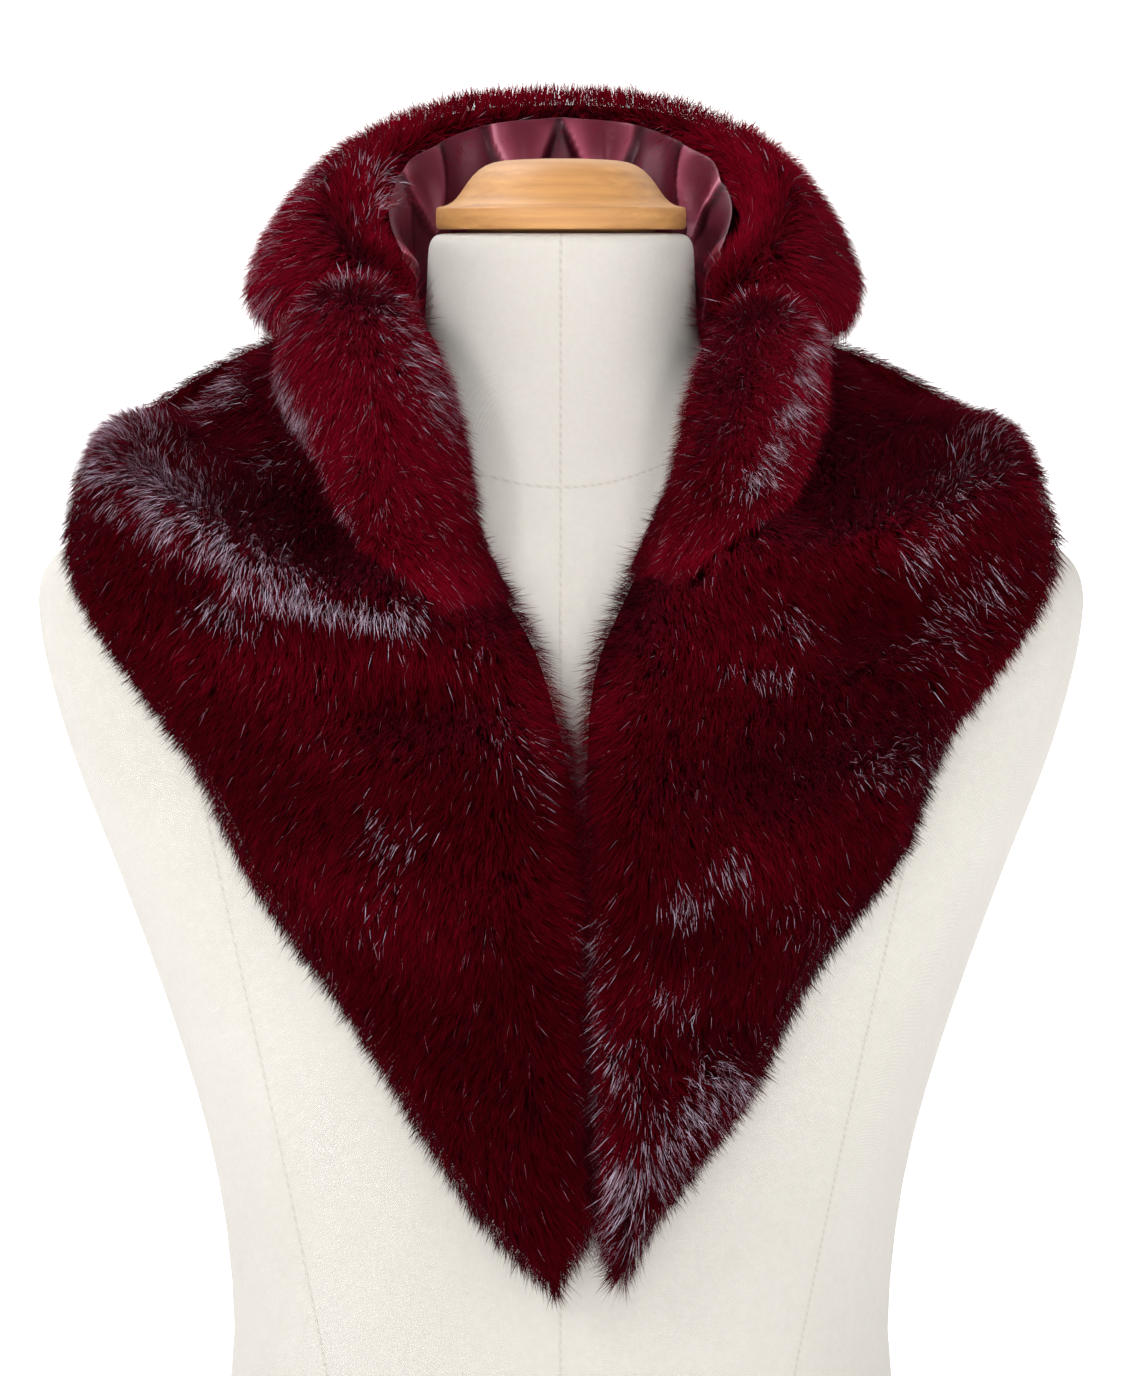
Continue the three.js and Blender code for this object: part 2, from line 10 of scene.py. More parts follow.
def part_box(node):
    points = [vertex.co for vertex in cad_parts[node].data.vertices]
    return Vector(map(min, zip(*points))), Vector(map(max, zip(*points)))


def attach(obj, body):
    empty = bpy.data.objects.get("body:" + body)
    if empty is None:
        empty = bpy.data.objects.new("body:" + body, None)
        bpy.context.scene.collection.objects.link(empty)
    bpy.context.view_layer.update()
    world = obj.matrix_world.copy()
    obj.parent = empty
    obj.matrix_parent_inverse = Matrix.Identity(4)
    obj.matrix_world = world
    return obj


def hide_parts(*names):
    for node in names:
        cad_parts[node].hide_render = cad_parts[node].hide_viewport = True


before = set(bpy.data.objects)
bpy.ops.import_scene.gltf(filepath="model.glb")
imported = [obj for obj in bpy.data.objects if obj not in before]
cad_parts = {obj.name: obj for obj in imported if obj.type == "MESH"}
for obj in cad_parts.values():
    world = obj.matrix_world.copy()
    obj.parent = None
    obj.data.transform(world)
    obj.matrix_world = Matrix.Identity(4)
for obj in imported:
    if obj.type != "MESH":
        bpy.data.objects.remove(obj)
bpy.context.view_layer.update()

# The view
# The camera stands straight in front of the form, just below the height of its neck cap, and
# looks a little down, from far enough away that the shoulders and the tip are seen alike.
CAMERA_PLACE = (0.004, -2.1932, 0.6522)
CAMERA_PITCH = math.radians(85.5)
LENS_MM = 149.65
SENSOR_MM = 36
SEES_TO = 60

bpy.ops.object.camera_add(location=CAMERA_PLACE, rotation=(CAMERA_PITCH, 0, 0))
camera = bpy.context.object
camera.data.sensor_width = SENSOR_MM
camera.data.lens = LENS_MM
camera.data.clip_end = SEES_TO
bpy.context.scene.camera = camera

# The dress form
# A limbless display torso of padded shell, covered in cream linen twill. The cover is cut in
# panels: a seam down the middle of the front, one round the foot of the neck, and one down
# each side of the front, and the stitches show along all of them.


class Amount:
    """A number that varies over a surface. Its operators add Math nodes."""

    def __init__(self, finish, socket):
        self.finish = finish
        self.socket = socket

    def math(self, operation, *others):
        values = dict(enumerate((self,) + others))
        return self.finish.add("ShaderNodeMath", {"operation": operation}, values)

    def __add__(self, other):
        return self.math("ADD", other)

    def __sub__(self, other):
        return self.math("SUBTRACT", other)

    def __mul__(self, other):
        return self.math("MULTIPLY", other)

    def __truediv__(self, other):
        return self.math("DIVIDE", other)

    def __rsub__(self, other):
        return self * -1 + other

    def __rtruediv__(self, other):
        return self.math("POWER", -1) * other

    def __abs__(self):
        return self.math("ABSOLUTE")

    __radd__ = __add__
    __rmul__ = __mul__

    def within(self, reach):
        """1 where the number is nearer to 0 than reach, falling softly to 0 at twice that."""
        return (2 - abs(self) / reach).math("MINIMUM", 1).math("MAXIMUM", 0)


class Finish:
    """A material under construction, around one Principled shader."""

    def __init__(self, name, **constants):
        self.material = bpy.data.materials.new(name)
        self.material.use_nodes = True
        self.tree = self.material.node_tree
        self.shader = self.tree.nodes["Principled BSDF"]
        for socket, value in constants.items():
            self.shader.inputs[socket.replace("_", " ")].default_value = value

    def add(self, kind, settings=None, sockets=None, output=0):
        """Adds a node, sets its settings and then its sockets, and returns one output."""
        node = self.tree.nodes.new(kind)
        for key, value in (settings or {}).items():
            if key == "stops":
                ramp = node.color_ramp
                while len(ramp.elements) < len(value):
                    ramp.elements.new(0.5)
                for stop, (place, colour) in zip(ramp.elements, value):
                    stop.position = place
                    stop.color = (*colour, 1)
            else:
                setattr(node, key, value)
        for key, value in (sockets or {}).items():
            if isinstance(value, Amount):
                self.tree.links.new(value.socket, node.inputs[key])
            else:
                node.inputs[key].default_value = value
        return Amount(self, node.outputs[output])

    def feed(self, socket, value):
        self.tree.links.new(value.socket, self.shader.inputs[socket])

    def axes(self, vector):
        """The three numbers of a vector."""
        parts = self.add("ShaderNodeSeparateXYZ", None, {0: vector})
        return [Amount(self, out) for out in parts.socket.node.outputs]

    def place(self):
        return self.add("ShaderNodeTexCoord", None, None, "Object")

    def mix(self, share, first, second):
        """A colour between two others, which are values or links."""
        full = {
            6: first if isinstance(first, Amount) else (*first, 1),
            7: second if isinstance(second, Amount) else (*second, 1),
            0: share,
        }
        return self.add("ShaderNodeMix", {"data_type": "RGBA"}, full, 2)

    def noise(self, where, scale, detail=2.0, roughness=0.5):
        values = {"Vector": where, "Scale": scale, "Detail": detail, "Roughness": roughness}
        return self.add("ShaderNodeTexNoise", None, values)

    def bump(self, height, distance, strength=1.0):
        values = {"Height": height, "Distance": distance, "Strength": strength}
        self.feed("Normal", self.add("ShaderNodeBump", None, values))


MERGE_WITHIN = 2e-5


def pick_only(piece):
    """Leaves one piece selected and active."""
    bpy.ops.object.select_all(action="DESELECT")
    piece.select_set(True)
    bpy.context.view_layer.objects.active = piece


def copy_of(node, name, level):
    """A merged copy of a CAD node as quads, smoothed by a number of subdivisions."""
    piece = bpy.data.objects.new(name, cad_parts[node].data.copy())
    bpy.context.collection.objects.link(piece)
    piece.data.materials.clear()
    pick_only(piece)
    bpy.ops.object.mode_set(mode="EDIT")
    bpy.ops.mesh.select_all(action="SELECT")
    bpy.ops.mesh.remove_doubles(threshold=MERGE_WITHIN)
    bpy.ops.mesh.tris_convert_to_quads(face_threshold=1.2, shape_threshold=1.4)
    bpy.ops.object.mode_set(mode="OBJECT")
    smooth = piece.modifiers.new("smooth", "SUBSURF")
    smooth.levels = smooth.render_levels = level
    bpy.ops.object.modifier_apply(modifier=smooth.name)
    bpy.ops.object.shade_smooth()
    return piece


FORM_GIRTH = 0.13  # metres of cloth for each radian round the form
TWILL_PITCH = 0.0011
RIB_SLOPE = 0.8
THREAD_SLOPE = 1.1
THREAD_SHARE = 0.93  # of the ribs' number, for the threads that cross them
SEAM_HALF = 0.00035
STITCH = 0.0034
NECK_SEAM_Z = 0.5595
NECK_SEAM_RISE = 5.5  # per metre, away from the middle of the front
SIDE_SEAM_X = 0.043  # at the underside
SIDE_SEAM_SLOPE = 0.2  # how fast it moves out with height
EDGE_RATE = 400  # per metre, how fast a seam sets in past the line where it ends
LINEN_TONES = ((0.74, 0.70, 0.645), (0.87, 0.84, 0.79))
LINEN_WEAVE = (0.42, 0.36, 0.28)  # between the threads
LINEN_SEAM = (0.36, 0.28, 0.2)
LINEN_BUMP = 0.0002

linen = Finish("linen_twill", Roughness=0.88, Sheen_Weight=0.15, Sheen_Roughness=0.4)
x, y, z = linen.axes(linen.place())
round_form = x.math("ARCTAN2", y * -1) * FORM_GIRTH
turn = 2 * math.pi / TWILL_PITCH
rib = ((round_form + z * RIB_SLOPE) * turn).math("SINE")
thread = ((round_form - z * THREAD_SLOPE) * turn * THREAD_SHARE).math("SINE")
slub = linen.noise(linen.place(), 420, 3.0)
patch = linen.noise(linen.place(), 16, 2.0)
front_side = (y * -EDGE_RATE).math("MINIMUM", 1).math("MAXIMUM", 0)
middle_seam = x.within(SEAM_HALF) * front_side
neck_seam = (z - NECK_SEAM_Z - x * x * NECK_SEAM_RISE).within(SEAM_HALF) * front_side
side_seam = (abs(x) - SIDE_SEAM_X - z * SIDE_SEAM_SLOPE).within(SEAM_HALF) * front_side
below_neck = ((NECK_SEAM_Z - z) * EDGE_RATE).math("MINIMUM", 1).math("MAXIMUM", 0)
seams = (middle_seam + neck_seam).math("MAXIMUM", side_seam * below_neck).math("MINIMUM", 1)
along = (z + x) * (2 * math.pi / STITCH)
stitches = (along.math("SINE") * 3).math("MINIMUM", 1).math("MAXIMUM", 0)
tone = (patch * 0.5 + slub * 0.5).math("MINIMUM", 1)
cloth = linen.mix(tone, *LINEN_TONES)
dark = (rib * 0.075 + thread * 0.05 + 0.07).math("MAXIMUM", 0)
cloth = linen.mix(dark, cloth, LINEN_WEAVE)
cloth = linen.mix(seams * (0.08 + stitches * 0.16), cloth, LINEN_SEAM)
linen.feed("Base Color", cloth)
linen.bump(rib * 0.6 + thread * 0.35 + slub * 1.8 - seams * 1.8, LINEN_BUMP, 0.8)

form = copy_of("form_body", "form_cover", 1)
form.data.materials.append(linen.material)
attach(form, "root")
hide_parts("form_body")

# The neck cap
# One turning of pale beech with a satin varnish, glued onto the top of the neck: a low boss, a
# square rim with eased corners, a hollow above it and a low, nearly flat crown.
CAP_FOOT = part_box("neck_cap")[0].z
CAP_STEPS = 96
CAP_CREASE = math.radians(40)  # edges sharper than this stay sharp
CAP_OUTLINE = (
    # radius, and height over the cap's foot
    (0.0, 0.0), (0.0357, 0.0), (0.036, 0.0003), (0.036, 0.0009), (0.0463, 0.0009),
    (0.0472, 0.0011), (0.0477, 0.0018), (0.0478, 0.0040), (0.0478, 0.0066), (0.0477, 0.0086),
    (0.0473, 0.0092), (0.0465, 0.0095), (0.0450, 0.0097), (0.0434, 0.0102), (0.0416, 0.0113),
    (0.0399, 0.0129), (0.0384, 0.0148), (0.0370, 0.0169), (0.0354, 0.0192), (0.0336, 0.0214),
    (0.0314, 0.0235), (0.0288, 0.0252), (0.0256, 0.0264), (0.0215, 0.0271), (0.0160, 0.0275),
    (0.0080, 0.0278), (0.0, 0.0278),
)
GRAIN_SCALE = (5, 60, 190)  # long across the cap, and close together up it
GRAIN_TURN = (0.03, 0.05, 0.12)
FLECK_SCALE = (30, 500, 900)
RING_RATE = 1500
WOOD_TONES = (
    (0.0, (0.40, 0.17, 0.05)), (0.4, (0.60, 0.30, 0.10)), (0.75, (0.74, 0.42, 0.17)),
    (1.0, (0.80, 0.50, 0.23)),
)
WOOD_BUMP = 0.00012

wood = Finish("varnished_beech", Roughness=0.5, Coat_Weight=0.08, Coat_Roughness=0.35)
lengthwise = {"Vector": wood.place(), "Scale": GRAIN_SCALE, "Rotation": GRAIN_TURN}
grain = wood.noise(wood.add("ShaderNodeMapping", None, lengthwise), 1.6, 5.0, 0.6)
fine_place = wood.add("ShaderNodeMapping", None, {"Vector": wood.place(), "Scale": FLECK_SCALE})
fleck = wood.noise(fine_place, 1.0, 2.0)
x, y, z = wood.axes(wood.place())
ring = ((z * RING_RATE + grain * 5).math("SINE") * 0.5 + 0.5) * 0.1
share = (grain * 0.75 + ring + fleck * 0.22 - 0.25).math("MAXIMUM", 0).math("MINIMUM", 1)
wood.feed("Base Color", wood.add("ShaderNodeValToRGB", {"stops": WOOD_TONES}, {0: share}))
wood.feed("Roughness", 0.46 + fleck * 0.12)
wood.bump(grain + fleck * 0.5, WOOD_BUMP, 0.5)

outline = bpy.data.meshes.new("neck_cap_turned")
corners = [(radius, 0, CAP_FOOT + height) for radius, height in CAP_OUTLINE]
outline.from_pydata(corners, [(i, i + 1) for i in range(len(corners) - 1)], [])
cap = bpy.data.objects.new("neck_cap_turned", outline)
bpy.context.collection.objects.link(cap)
pick_only(cap)
bpy.ops.object.mode_set(mode="EDIT")
bpy.ops.mesh.select_all(action="SELECT")
bpy.ops.mesh.spin(steps=CAP_STEPS, angle=2 * math.pi, center=(0, 0, CAP_FOOT), axis=(0, 0, 1))
bpy.ops.mesh.select_all(action="SELECT")
bpy.ops.mesh.remove_doubles(threshold=MERGE_WITHIN)
bpy.ops.mesh.normals_make_consistent(inside=False)
bpy.ops.object.mode_set(mode="OBJECT")
bpy.ops.object.shade_smooth_by_angle(angle=CAP_CREASE)
cap.data.materials.append(wood.material)
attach(cap, "root")
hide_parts("neck_cap")

# The collar's lining
# Plum satin inside the standing collar, cut wider than the collar and gathered into uneven
# pleats that lean and die out. Each rises slowly on one side and falls away on the other. Its
# colour carries a painted highlight on each rising slope and painted shade in the dip behind it.
LINING_MIDDLE_Y = 0.008
NECK_ROOM = 0.0545  # the radius inside which the pleats stay low, to clear the form's neck
LEAST_PLEAT, MOST_PLEAT = 0.3, 9  # mm, where there is little room and where there is plenty
RIM_DROP = 150  # degrees from the back at which the rim would be down at the seam
# Painted light on the satin: its level between the pleats, the painted highlight on a pleat's
# slope, and the painted shade in the dip behind its ridge.
PAINTED_LIGHT_BETWEEN_PLEATS = 0.27  # how bright the satin is between the pleats, from 0 to 1
PAINTED_PLEAT_HIGHLIGHT = 0.85
PAINTED_PLEAT_SHADE = 0.26
LINING_PLEATS = (
    # middle from the back in degrees, width of the slope (negative where it faces the other
    # way), depth in mm, lean, how soon it swells with height, and the strength of the painted
    # highlight on its slope
    (-112, 12, 3.5, 6, 0.5, 0.3), (-92, -17, 5.5, -20, 0.7, 0.9), (-70, 19, 6.5, 22, 0.6, 0.35),
    (-48, -17, 6.0, -24, 0.8, 0.6), (-27, 21, 8.5, 26, 0.6, 0.45), (-8, -15, 7.5, -16, 0.9, 1.0),
    (9, 17, 8.5, 14, 0.8, 0.55), (30, -22, 9.0, -34, 0.8, 0.8), (52, 17, 7.5, 28, 0.6, 1.0),
    (74, -19, 7.5, -30, 0.7, 0.8), (95, 15, 5.5, 12, 0.6, 0.3), (111, -12, 3.5, -6, 0.6, 0.3),
)

# The satin's tones run from painted shade to painted highlight.
SATIN_SHADE_TO_HIGHLIGHT = (
    (0.0, (0.018, 0.001, 0.004)), (0.4, (0.115, 0.013, 0.026)), (0.75, (0.28, 0.058, 0.095)),
    (1.0, (0.62, 0.25, 0.33)),
)
SATIN_SHEEN = (1.0, 0.62, 0.74, 1)
SATIN_BUMP = 0.00012

satin = Finish("plum_satin", Roughness=0.34, Specular_IOR_Level=0.28)
satin.shader.inputs["Specular Tint"].default_value = SATIN_SHEEN
shade = satin.noise(satin.place(), 30, 2.0)
x, y, z = satin.axes(satin.place())
floats = (x.math("ARCTAN2", y) * 700 + z * 1200).math("SINE") * 0.5 + 0.5
fold = satin.add("ShaderNodeAttribute", {"attribute_name": "fold"}, None, 2)
# The base colour: painted light and shade from the pleats, with random tone and the floats of the
# weave.
painted_light_and_tone = (fold * 0.9 + shade * 0.16 + floats * 0.06 - 0.08).math("MAXIMUM", 0).math("MINIMUM", 1)
satin.feed("Base Color", satin.add("ShaderNodeValToRGB", {"stops": SATIN_SHADE_TO_HIGHLIGHT}, {0: painted_light_and_tone}))
satin.feed("Roughness", 0.28 + shade * 0.12)
satin.bump(floats * 0.3 + satin.noise(satin.place(), 260, 3.0), SATIN_BUMP, 0.5)

lining = copy_of("collar_lining", "satin_lining", 2)
low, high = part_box("collar_lining")
points = np.empty(len(lining.data.vertices) * 3)
lining.data.vertices.foreach_get("co", points)
points = points.reshape(-1, 3)
across = points[:, 0]
behind = points[:, 1] - LINING_MIDDLE_Y
angles = np.degrees(np.arctan2(across, behind))
radii = np.hypot(across, behind)
rim = low.z + (high.z - low.z) * (1 - np.abs(angles) / RIM_DROP) ** 0.7
rise = np.clip((points[:, 2] - low.z) / np.maximum(rim - low.z, 0.01), 0, 1)
stands = np.zeros(len(points))
fold = np.full(len(points), PAINTED_LIGHT_BETWEEN_PLEATS)
for middle, width, depth, lean, height, highlight_strength in LINING_PLEATS:
    share = (angles - middle - lean * (rise - 0.5)) / (width * (0.35 + 0.75 * rise)) + 0.5
    slope = np.clip(share, 0, 1) ** 1.3
    drop = np.clip((1.22 - share) / 0.22, 0, 1)
    swell = np.sin(np.pi * np.clip(0.12 + 0.84 * rise ** height, 0, 1)) ** 0.8
    stands = np.maximum(stands, depth * slope * drop * drop * (3 - 2 * drop) * swell)
    # Painted highlight on each pleat's slope towards its ridge, and painted shade in the dip behind
    # it.
    painted_highlight = np.clip(share, 0, 1) ** 3.5 * np.clip((1.08 - share) / 0.08, 0, 1)
    fold += PAINTED_PLEAT_HIGHLIGHT * highlight_strength * painted_highlight * np.clip(0.3 + rise, 0, 1)  # the slope, towards its ridge
    fold -= PAINTED_PLEAT_SHADE * np.exp(-(((share - 1.16) / 0.12) ** 2))  # the dip behind the ridge
room = np.clip((radii - NECK_ROOM) * 1000, LEAST_PLEAT, MOST_PLEAT)
radii -= 0.001 * np.minimum(stands, room)
points[:, 0] = radii * np.sin(np.radians(angles))
points[:, 1] = LINING_MIDDLE_Y + radii * np.cos(np.radians(angles))
lining.data.vertices.foreach_set("co", points.ravel())
lining.data.update()
lining.data.attributes.new("fold", "FLOAT", "POINT").data.foreach_set("value", np.clip(fold, 0, 1))
lining.data.materials.append(satin.material)
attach(lining, "root")
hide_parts("collar_lining")

# The fur
# Long-pile faux fur in burgundy: a knitted backing with a dense undercoat and, out of it, fine
# straight hairs that lie down and outwards. Where the cloth turns up to the light the hairs are
# painted silver, a painted sheen, and the pile is painted lighter where it faces the light and
# darker in its hollows. Each piece is a cut of that cloth, so each has a skin and its own hairs.
HAIR_WIDE = 0.00031
HAIR_DEPTH = 0.009  # from the solid's face down to the skin
DEPTH_SHARE = 0.6  # of the thickness, where the piece is thinner
TUFT_AREA = 1.6e-5  # square metres of cloth for each tuft
TUFT_LEAN = 0.1  # how far each tuft leans a way of its own, and each hair
HAIR_LEAN = 0.2
MOST_PULLED = 0.3  # the share of the way to its tuft that a tip is pulled
SWIRLS = ((0.26, 0.12), (0.1, 0.03))  # how strong each is, and over what length
WAVES = 5  # crossed to make one slow change over the cloth
BLADE_ROLL = 0.38  # radians that the blades are rolled by, either way

# How far a hair's tip is from its place on the cloth, along it and over it. The first pair is
# the least and the most, the second the mean and the spread, and the others are added to it.
HAIR_REACH = (0.0052, 0.0105)
HAIR_OVER = (0.0012, 0.0014)
EDGE_OVER = (0.001, 0.007)  # at a cut edge
TURN_OVER = (0.002, 0.005)  # where the nap turns
MEETING_OVER = 0.0045
NECKLINE_OVER = 0.006
COLLAR_OVER = 0.0025
CORNER_OVER = 0.004

# Hair grows on the faces that are turned from the form. These are the cosines down to which it
# does, and how near another piece, or another part of the collar itself, has to be to cover one.
TURNED_AWAY = -0.3
LEAST_TURNED = {"collar": -0.75}
COVERED_WITHIN = 0.006
COVER_REACH = {"collar": 0.0025, "front_right": 0.0015, "front_left": 0.0015}
ROLL_REACH = 0.075
RAY_START = 5e-4  # off the face that a ray leaves
RAY_INSIDE = 2e-4  # under it, for a ray through the piece
THICKEST = 0.08  # the length of such a ray, which is more than any piece is thick
CREASE_FACING = 0.2  # the cosine past which a skin takes creases

# The lapels: how near the front, in mm, their edges sink into it, where their lower ends do,
# and the place that their hairs lie away from, with how slowly they turn round it.
LIE_CLOSE = 8.0
END_START = 0.006
END_RUN = 0.036
SINK_SHARE = 0.9
CROWNS = {"lapel_right": (-0.084, -0.08, 0.641), "lapel_left": (0.074, -0.08, 0.638)}
CROWN_SPREAD = (0.07, 1, 0.009)

# The fronts: where they meet, with how that moves with height, the neckline beside the lapels'
# lower ends, and the tip.
MEETING_X = (0.0206, -0.031)
MEETING_HALF = 0.015
MEETING_TOP, MEETING_FADE = 0.5, 0.02
NECKLINE_Z, NECKLINE_RUN, NECKLINE_HALF = 0.525, 0.035, 0.06
TIP_TOP, TIP_FADE = 0.32, 0.04

# The collar: its lower corners, in front and low down, and its rim, above and near the lining.
CORNER_TOP, CORNER_FADE, CORNER_BACK = 0.65, 0.03, 0.05
RIM_NEAR, RIM_FOOT, RIM_FADE = 0.006, 0.655, 0.02

# Creases seen from the front, as soft lines in mm: both ends, how high the cloth stands up
# (or how deep it sinks, where that is negative) and the half width.
FRONT_REACH = 0.03  # how far back these lines and the ones below are drawn, in metres
CREASES = {
    "front_right": (
        (-170, 566, -138, 546, 4.0, 12), (-138, 546, -112, 528, 5.0, 11),
        (-112, 528, -58, 512, 4.0, 10), (-134, 574, -92, 548, -6.0, 13),
        (-96, 560, -84, 540, -4.0, 9), (-66, 482, -22, 490, -3.5, 9),
        (-72, 458, -12, 464, 2.5, 13), (-92, 424, -40, 404, 2.0, 16),
        (-60, 372, -20, 352, -2.0, 14), (-40, 330, -14, 316, 1.5, 12),
    ),
    "front_left": (
        (66, 540, 118, 548, 3.0, 13), (128, 548, 166, 566, 4.0, 13), (84, 596, 94, 556, -6.0, 13),
        (104, 512, 150, 520, -5.0, 12), (52, 506, 88, 508, 3.5, 12), (86, 474, 128, 482, -4.0, 13),
        (38, 466, 74, 456, -3.0, 12), (44, 426, 92, 440, 4.0, 13), (40, 402, 84, 408, -3.5, 9),
        (36, 384, 72, 380, 3.0, 9), (36, 362, 66, 366, -3.0, 7), (26, 322, 60, 346, 2.5, 11),
    ),
}

# How deep the roots are where it isn't HAIR_DEPTH: less, because the hairs there are fewer.
SHALLOW = {"back": 0.002, "collar": 0.0045}

# How dark the hairs are, from 0 to 1. The collar and the lapels are painted lighter, as painted
# light where they face up to the lamps.
PLAIN_DARK = 0.88
DARK_WITH_PAINTED_LIGHT = {"collar": 0.36, "lapel_right": 0.42, "lapel_left": 0.46}

# Painted light and shade on the pile: where it is painted a brighter red as lit, or darker as
# shaded, as under the lapels' lower ends: soft lines with a tone in place of the height.
PAINTED_LIGHT_AND_SHADE = {
    "front_right": (
        (-136, 502, -44, 500, 0.28, 11), (-34, 536, -8, 486, 0.34, 15),
        (-110, 570, -60, 545, -0.15, 14), (-70, 462, -20, 462, -0.12, 12),
        (-84, 430, -30, 420, 0.12, 18),
    ),
    "front_left": (
        (46, 545, 18, 486, 0.3, 15), (62, 552, 130, 548, 0.2, 12), (60, 460, 120, 476, -0.12, 15),
        (22, 372, 22, 300, 0.3, 12),
    ),
    "lapel_right": ((-70, 545, -25, 540, -0.3, 16),),
    "lapel_left": ((25, 550, 60, 556, -0.3, 16),),
}

# Where the hairs are painted silver, as sheen where the cloth turns up to the light: the same
# soft lines, with a strength in place of the height.
PAINTED_SHEEN_LINES = {
    "front_right": (
        (-174, 576, -146, 560, 0.8, 12), (-146, 560, -116, 538, 1.0, 9),
        (-116, 538, -96, 526, 1.1, 7), (-100, 524, -54, 517, 1.2, 4.5),
        (-168, 584, -124, 600, 0.55, 7), (-34, 502, -28, 498, 0.14, 6),
        (-66, 446, -58, 432, 0.22, 7), (-20, 474, -10, 466, 0.12, 8),
        (-112, 566, -104, 574, 0.25, 6), (-132, 518, -112, 514, 0.5, 5),
    ),
    "front_left": (
        (78, 518, 86, 512, 0.35, 5), (60, 500, 84, 494, 0.4, 3.5), (130, 536, 138, 546, 0.35, 6),
        (146, 562, 158, 576, 0.35, 9), (136, 508, 156, 526, 0.2, 10), (44, 414, 62, 428, 0.4, 6),
        (40, 380, 48, 374, 0.4, 5), (56, 352, 66, 344, 0.4, 7), (54, 344, 26, 306, 0.6, 9),
        (22, 360, 24, 304, 0.2, 10), (13, 410, 13, 330, 0.3, 4), (112, 462, 132, 466, 0.3, 6),
        (20, 300, 24, 290, 0.4, 6),
    ),
    "collar": (
        (-118, 640, -96, 684, 0.3, 9), (-92, 690, -60, 706, 0.45, 9), (-74, 690, -68, 660, 0.5, 5),
        (-40, 712, 30, 714, 0.3, 5), (60, 708, 96, 684, 0.15, 8), (-116, 632, -100, 626, 0.3, 6),
    ),
    "lapel_right": (
        (-114, 612, -99, 586, 1.1, 5), (-99, 586, -80, 546, 1.1, 4), (-112, 618, -100, 640, 0.8, 7),
        (-100, 640, -66, 644, 0.7, 7), (-62, 630, -44, 590, 0.35, 7),
    ),
    "lapel_left": (
        (62, 638, 84, 636, 0.6, 6), (94, 622, 84, 588, 0.8, 4), (84, 588, 68, 560, 0.5, 4),
        (56, 622, 44, 600, 0.25, 6),
    ),
}
MARKS = {"crease": CREASES, "tone": PAINTED_LIGHT_AND_SHADE, "painted_sheen": PAINTED_SHEEN_LINES}


def tree_of(mesh):
    """A search tree of a mesh, for nearest points and for what a ray meets."""
    return BVHTree.FromPolygons([v.co for v in mesh.vertices], [f.vertices for f in mesh.polygons])


def soft_lines(lines, places):
    """The sum at each place of soft lines on the front, each as high as its fifth number."""
    total = np.zeros(len(places))
    x, z = places[:, 0] * 1000, places[:, 2] * 1000
    for x1, z1, x2, z2, height, reach in lines:
        share = ((x - x1) * (x2 - x1) + (z - z1) * (z2 - z1)) / ((x2 - x1) ** 2 + (z2 - z1) ** 2)
        near = np.clip(share, 0, 1)
        away = np.hypot(x - x1 - near * (x2 - x1), z - z1 - near * (z2 - z1))
        total += height * np.exp(-((away / reach) ** 2))
    return total * (places[:, 1] < FRONT_REACH)


form_tree = tree_of(form.data)
lining_tree = tree_of(lining.data)

# Along each hair the colour runs from u = 0 at its root to 1 at its tip. Below a half, v says
# how dark the hair is, painted shade and light included, and above it how much painted silver
# sheen it carries.
HAIR_TONES = (
    (0.0, (0.016, 0.0002, 0.0010)), (0.35, (0.090, 0.0005, 0.0040)),
    (0.75, (0.220, 0.0014, 0.0115)), (1.0, (0.340, 0.0060, 0.0270)),
)
HAIR_DARKEST = (0.012, 0.0002, 0.0007)
# The painted silver sheen: its colour, and how fast it comes in along a hair.
PAINTED_SHEEN_COLOUR = (0.86, 0.78, 0.98)
MOST_DARKENED = 0.85
PAINTED_SHEEN_FROM_ROOT = 1.6  # how fast the silver comes in along a hair
UNDERCOAT_TONES = ((0.008, 0.0002, 0.0006), (0.035, 0.0003, 0.0015))

hair = Finish(
    "fur_hair", Roughness=0.6, Specular_IOR_Level=0.0, Sheen_Weight=0.12, Sheen_Roughness=0.5
)
hair.shader.inputs["Sheen Tint"].default_value = (0.9, 0.10, 0.20, 1)
along_hair, tone, _ = hair.axes(hair.add("ShaderNodeUVMap", {"uv_map": "OFBake"}))
body_colour = hair.add("ShaderNodeValToRGB", {"stops": HAIR_TONES}, {0: along_hair})
dark = (1 - tone * 2).math("MAXIMUM", 0)
# The painted silver sheen, coming in towards the tip.
painted_sheen = (tone * 2 - 1).math("MAXIMUM", 0) * (along_hair * PAINTED_SHEEN_FROM_ROOT).math("MINIMUM", 1)
body_colour = hair.mix(dark * MOST_DARKENED, body_colour, HAIR_DARKEST)
hair.feed("Base Color", hair.mix(painted_sheen, body_colour, PAINTED_SHEEN_COLOUR))

undercoat = Finish("fur_undercoat", Roughness=0.95, Specular_IOR_Level=0.0)
fuzz = undercoat.noise(undercoat.place(), 900, 4.0, 0.7)
undercoat.feed("Base Color", undercoat.mix(fuzz, *UNDERCOAT_TONES))
undercoat.bump(fuzz, 0.002, 1.0)


def unit(vectors):
    """Each row of an array at a length of 1."""
    return vectors / np.maximum(np.linalg.norm(vectors, axis=1, keepdims=True), 1e-9)


